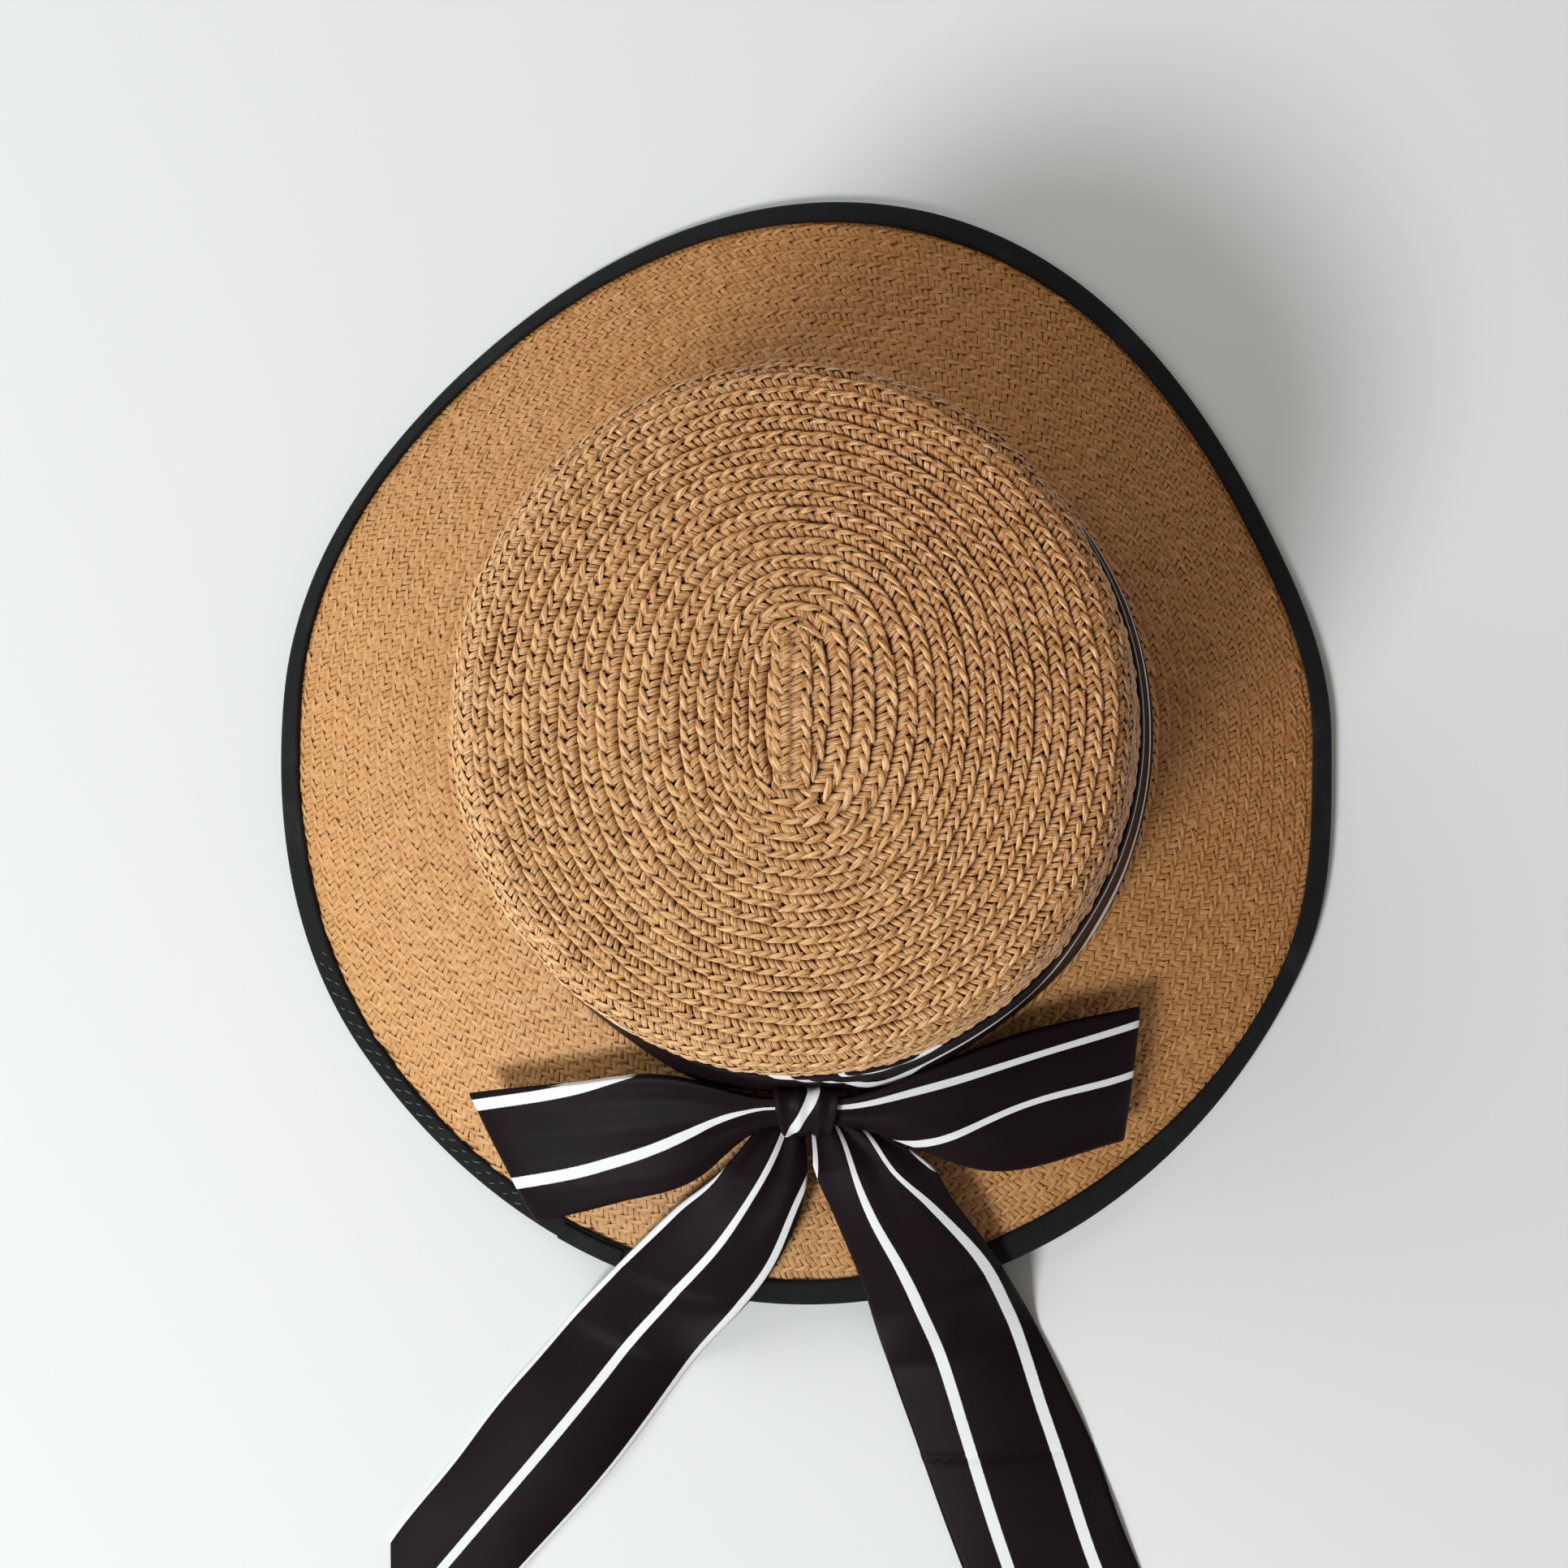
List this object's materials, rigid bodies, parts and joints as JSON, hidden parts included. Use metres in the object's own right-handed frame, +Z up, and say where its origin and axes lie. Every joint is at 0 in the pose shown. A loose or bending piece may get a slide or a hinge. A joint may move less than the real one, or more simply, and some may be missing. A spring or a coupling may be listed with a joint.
{
  "type": "straw sun hat",
  "caption": "Straw sun hat with a flat round crown, a drooping wavy brim bound with tape, and a striped ribbon tied in a bow with two long tails at the back",
  "frame": {"origin": "On the crown's axis, in the plane of the surface that the hat stands on", "axes": "+Z up through the crown, +Y towards the front of the hat, so that the bow and its tails are at -Y, and +X to the right seen from above with the bow at the bottom"},
  "size_m": [0.296, 0.4594, 0.1336],
  "materials": {
    "straw_braid": "sewn paper-straw braid, matte with a slight sheen",
    "binding_tape": "matte woven tape",
    "satin_ribbon": "black satin with white pin stripes"
  },
  "bodies": {
    "root": {"crown": "straw_braid", "brim": "straw_braid", "edge_binding": "binding_tape", "hat_band": "satin_ribbon", "bow_loop_left": "satin_ribbon", "bow_loop_right": "satin_ribbon", "bow_knot": "satin_ribbon", "ribbon_tail_left": "satin_ribbon", "ribbon_tail_right": "satin_ribbon"}
  },
  "joints": []
}
